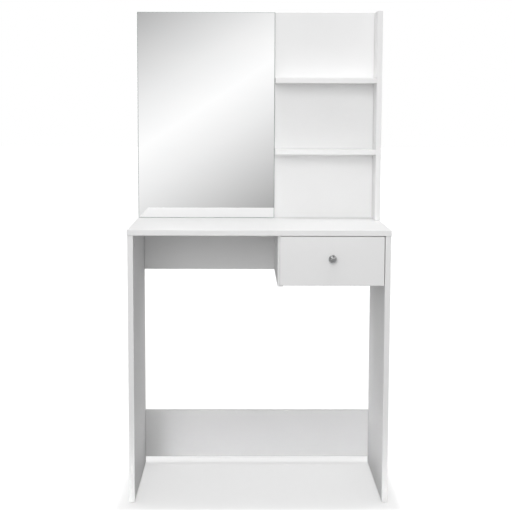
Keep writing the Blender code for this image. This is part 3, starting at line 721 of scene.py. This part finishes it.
def runner_screw_shape(seat, way_in):
    """A short runner screw: domed head with a cross recess, plain shank and point."""
    across = Vector((way_in.y, way_in.z, way_in.x))
    radius, rise = RUNNER_SCREW_HEAD
    dome = arc((0, 0), (radius, rise), 85, 0, 8)
    profile = [
        (0, rise),
        *dome,
        (RUNNER_SCREW_SHANK, 0),
        (RUNNER_SCREW_SHANK, -RUNNER_SCREW_LENGTH * RUNNER_SCREW_POINT),
        (0, -RUNNER_SCREW_LENGTH),
    ]
    body = turned_shape(profile, seat, -way_in, FINE // 3)
    long, wide = (radius * share for share in RUNNER_SCREW_CROSS)
    facing = (seat, across, across.cross(way_in), -way_in)
    floor_height = rise * RUNNER_SCREW_FLOOR
    recess = prism(cross_outline(long, wide), *facing, rise + CUT_OVER, floor_height, RECESS_TAPER)
    return carved(body, [recess])


def fasten_drawer():
    """The drawer's small repeated fasteners: front cams, back screws and the screws under its runners."""
    back_low, back_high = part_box("drawer_back")
    back_middle = (back_low + back_high) / 2
    for side, inward in (("left", RIGHT), ("right", -RIGHT)):
        low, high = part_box(f"drawer_side_{side}")
        inner, outer = (high.x, low.x) if side == "left" else (low.x, high.x)
        foot_low, foot_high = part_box(f"drawer_runner_{side}")
        for n, share in enumerate(DRAWER_FIXING_HEIGHTS):
            height = back_low.z + (back_high.z - back_low.z) * share
            seat = Vector((inner, low.y + DRAWER_CAM_INSET, height)) + inward * PROUD
            cam = cam_shape(seat, inward, FORWARD, DRAWER_CAM_DEPTH)
            finished(f"drawer_cam_{side}_{n}", cam, (ZINC,), "drawer", "zinc_steel")
            seat = Vector((outer, back_middle.y, height)) - inward * PROUD
            screw = screw_shape(seat, inward, DRAWER_SCREW_LENGTH)
            finished(f"drawer_back_bolt_{side}_{n}", screw, (ZINC,), "drawer", "zinc_steel")
        for n, share in enumerate(RUNNER_SCREW_PLACES):
            place = foot_low.y + (foot_high.y - foot_low.y) * share
            seat = Vector(((low.x + high.x) / 2, place, foot_low.z))
            screw = runner_screw_shape(seat, UP)
            finished(f"runner_screw_{side}_{n}", screw, (ZINC,), "drawer", "zinc_steel")


def make_roller(name):
    """A nylon roller with a rounded tread, a recessed web and a hub round the axle."""
    centre, half = middle_of(name)
    wide, radius = half.x, half.y
    web = wide - ROLLER_WEB
    hub_foot = ROLLER_HUB + HUB_DRAFT
    rim = radius - ROLLER_RIM
    rim_foot = rim - ROLLER_DRAFT
    rounding = (ROLLER_EDGE, ROLLER_EDGE)
    profile = [
        (ROLLER_BORE, -wide),
        (ROLLER_HUB, -wide),
        (hub_foot, -web),
        (rim_foot, -web),
        (rim, -wide),
        *arc((radius - ROLLER_EDGE, -wide + ROLLER_EDGE), rounding, -90, 0, 5),
        *arc((radius - ROLLER_EDGE, wide - ROLLER_EDGE), rounding, 0, 90, 5),
        (rim, wide),
        (rim_foot, web),
        (hub_foot, web),
        (ROLLER_HUB, wide),
        (ROLLER_BORE, wide),
        (ROLLER_BORE, -wide),
    ]
    shape = turned_shape(profile, centre, RIGHT, FINE)
    bmesh.ops.remove_doubles(shape, verts=shape.verts, dist=1e-7)
    finished(f"{name}_wheel", shape, (NYLON,), name, "nylon", name)


make_mirror()
make_knob()
for name in sorted(nodes):
    if name.endswith("_cam_lock"):
        make_cam(name, name.replace("cam_lock", "cam_bolt"))
    elif name.endswith("_roller_left") or name.endswith("_roller_right"):
        make_roller(name)
fasten_drawer()
for name in ("panel_screw_left", "panel_screw_right", "upright_screw"):
    make_screw(name, UP)
for shelf in ("lower", "upper"):
    for end in ("left", "right"):
        make_screw(f"shelf_{shelf}_rear_screw_{end}", FORWARD)
make_screw("divider_screw", FORWARD)
for shelf in ("lower", "upper"):
    make_screw(f"shelf_{shelf}_end_screw", -RIGHT)


# ---- Studio ----
def painted_shade_level(graph):
    """The floor's glow: bright all round, dimmed into a painted soft-edged shadow about the side panels'
    feet.
    """
    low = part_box("side_panel_left")[0] - Vector((SHADE_SIDES, SHADE_AHEAD, 0))
    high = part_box("side_panel_right")[1] + Vector((SHADE_SIDES, SHADE_BEHIND, 0))
    from_middle = graph.vector("SUBTRACT", graph.coordinates(), (low + high) / 2)
    outside = graph.vector("SUBTRACT", graph.vector("ABSOLUTE", from_middle, UP), (high - low) / 2)
    outside = graph.vector("MAXIMUM", outside, Vector((0, 0, 0)))
    away = graph.add("ShaderNodeVectorMath", {0: outside}, operation="LENGTH").outputs["Value"]
    return graph.remap(away, 0.0, SHADE_FADE, PAINTED_SHADE_GLOW, FLOOR_GLOW, smooth=True)


def floor():
    """White to the camera, and a duller bounce to everything else."""
    mesh = bpy.data.meshes.new("floor")
    half = FLOOR_SIZE / 2
    corners = ((-half, -half, 0), (half, -half, 0), (half, half, 0), (-half, half, 0))
    mesh.from_pydata(corners, [], [(0, 1, 2, 3)])
    made = bpy.data.objects.new("floor", mesh)
    bpy.context.scene.collection.objects.link(made)
    material = bpy.data.materials.new("floor_white")
    material.use_nodes = True
    tree = material.node_tree
    tree.nodes.clear()
    graph = Graph(tree)
    lit = graph.add("ShaderNodeBsdfDiffuse", {"Color": grey(FLOOR_WHITE)}).outputs[0]
    # the glow's strength carries the painted shadow round the table's feet
    glow = {"Color": grey(1.0), "Strength": painted_shade_level(graph)}
    glowing = graph.add("ShaderNodeEmission", glow).outputs[0]
    seen = graph.add("ShaderNodeAddShader", {0: lit, 1: glowing}).outputs[0]
    bounce = graph.add("ShaderNodeBsdfDiffuse", {"Color": grey(FLOOR_BOUNCE)}).outputs[0]
    to_camera = graph.add("ShaderNodeLightPath").outputs["Is Camera Ray"]
    both = graph.add("ShaderNodeMixShader", {0: to_camera, 1: bounce, 2: seen}).outputs[0]
    graph.add("ShaderNodeOutputMaterial", {"Surface": both})
    mesh.materials.append(material)
    return made


def world():
    """White to the camera, a soft sky to matt surfaces, and soft light and dark bands to glossy ones."""
    made = bpy.data.worlds.new("studio")
    bpy.context.scene.world = made
    made.use_nodes = True
    tree = made.node_tree
    tree.nodes.clear()
    graph = Graph(tree)
    direction = graph.add("ShaderNodeTexCoord").outputs["Generated"]
    sideways, _, height = graph.add("ShaderNodeSeparateXYZ", {0: direction}).outputs
    sky_level = graph.remap(height, *WORLD_HEIGHTS, *WORLD_LEVELS, smooth=True)
    diagonal = graph.math("SUBTRACT", height, graph.math("MULTIPLY", sideways, GLOSS_LEAN))
    wave = graph.math("COSINE", graph.math("MULTIPLY", diagonal, GLOSS_WAVES))
    gloss = graph.remap(wave, -1.0, 1.0, *GLOSS_LEVELS, smooth=True)
    ray = graph.add("ShaderNodeLightPath").outputs
    level = graph.add("ShaderNodeMix", {0: ray["Is Glossy Ray"], 2: sky_level, 3: gloss}).outputs[0]
    sky = graph.add("ShaderNodeBackground", {"Color": grey(1.0), "Strength": level}).outputs[0]
    white = graph.add("ShaderNodeBackground", {"Color": grey(1.0), "Strength": 1.0}).outputs[0]
    both = graph.add("ShaderNodeMixShader", {0: ray["Is Camera Ray"], 1: sky, 2: white}).outputs[0]
    graph.add("ShaderNodeOutputWorld", {"Surface": both})


def area_light(name, place, target, size, power, spread):
    """A soft light that reflections don't see."""
    light = bpy.data.lights.new(name, "AREA")
    light.shape = "RECTANGLE"
    light.size, light.size_y = size
    light.energy = power
    light.spread = math.radians(spread)
    made = bpy.data.objects.new(name, light)
    bpy.context.scene.collection.objects.link(made)
    made.location = place
    made.rotation_mode = "QUATERNION"
    made.rotation_quaternion = (Vector(place) - Vector(target)).to_track_quat("Z", "Y")
    made.visible_glossy = False
    return made


def sun(name):
    """All but straight down, so that the table shades the floor between its legs."""
    light = bpy.data.lights.new(name, "SUN")
    light.energy = SUN_STRENGTH
    light.angle = math.radians(SUN_SPREAD)
    made = bpy.data.objects.new(name, light)
    bpy.context.scene.collection.objects.link(made)
    made.rotation_mode = "QUATERNION"
    made.rotation_quaternion = SUN_TILT.to_track_quat("Z", "Y")
    return made


def link_light(light, receivers, state):
    """Links a light to objects: INCLUDE lights only those, EXCLUDE all but those."""
    linked = bpy.data.collections.new(f"{light.name}_receivers")
    for n, receiver in enumerate(receivers):
        linked.objects.link(receiver)
        linked.collection_objects[n].light_linking.link_state = state
    light.light_linking.receiver_collection = linked


def glossy_card(name, corners, level_of):
    """A card that only reflections see. level_of returns its brightness from the shader graph."""
    mesh = bpy.data.meshes.new(name)
    mesh.from_pydata(corners, [], [(0, 1, 2, 3)])
    made = bpy.data.objects.new(name, mesh)
    bpy.context.scene.collection.objects.link(made)
    material = bpy.data.materials.new(name)
    material.use_nodes = True
    material.node_tree.nodes.clear()
    graph = Graph(material.node_tree)
    emission = graph.add("ShaderNodeEmission", {"Strength": level_of(graph)}).outputs[0]
    graph.add("ShaderNodeOutputMaterial", {"Surface": emission})
    mesh.materials.append(material)
    made.visible_camera = False
    made.visible_diffuse = False
    made.visible_shadow = False
    made.visible_transmission = False
    made.visible_volume_scatter = False


def band_level(graph):
    """One bright diagonal band that fades evenly to grey on both sides."""
    split = graph.add("ShaderNodeSeparateXYZ", {0: graph.coordinates()}).outputs
    across = graph.math("SUBTRACT", split[2], graph.math("MULTIPLY", split[0], BAND_SLOPE))
    from_middle = graph.math("ABSOLUTE", graph.math("SUBTRACT", across, BAND_MIDDLE))
    share = graph.remap(from_middle, 0.0, BAND_REACH, 0.0, 1.0)
    ramp = graph.add("ShaderNodeValToRGB", {"Fac": share})
    stops = ramp.color_ramp
    while len(stops.elements) < len(BAND_STOPS):
        stops.elements.new(0.5)
    for element, (away, level) in zip(stops.elements, BAND_STOPS):
        element.position = away / BAND_REACH
        element.color = grey(level)
    return ramp.outputs["Color"]


def camera():
    data = bpy.data.cameras.new("camera")
    made = bpy.data.objects.new("camera", data)
    bpy.context.scene.collection.objects.link(made)
    data.sensor_width = SENSOR
    data.lens = FOCAL_PIXELS / IMAGE_SIDE * SENSOR
    data.shift_y = CAMERA_SHIFT
    data.clip_end = 2 * FLOOR_SIZE
    ahead = Vector((
        -math.sin(CAMERA_YAW) * math.cos(CAMERA_PITCH),
        math.cos(CAMERA_YAW) * math.cos(CAMERA_PITCH),
        math.sin(CAMERA_PITCH),
    ))
    level = Vector((math.cos(CAMERA_YAW), math.sin(CAMERA_YAW), 0))
    upward = level.cross(ahead)
    across = level * math.cos(CAMERA_ROLL) + upward * math.sin(CAMERA_ROLL)
    upward = upward * math.cos(CAMERA_ROLL) - level * math.sin(CAMERA_ROLL)
    turn = Matrix((across, upward, -ahead)).transposed()
    made.matrix_world = Matrix.Translation(CAMERA_PLACE) @ turn.to_4x4()
    bpy.context.scene.camera = made


ground = floor()
world()
side_panels = [nodes["side_panel_left"], nodes["side_panel_right"]]
for name, settings in AREA_LIGHTS.items():
    light = area_light(name, *settings)
    if name == "rear_low":
        link_light(light, side_panels, "INCLUDE")
    else:
        link_light(light, [ground], "EXCLUDE")
link_light(sun("floor_sun"), [ground], "INCLUDE")
glossy_card("mirror_card", MIRROR_CARD, band_level)
glossy_card("softbox_card", SOFTBOX_CARD, lambda graph: SOFTBOX_LEVEL)
camera()
bpy.context.scene.view_settings.view_transform = "Standard"
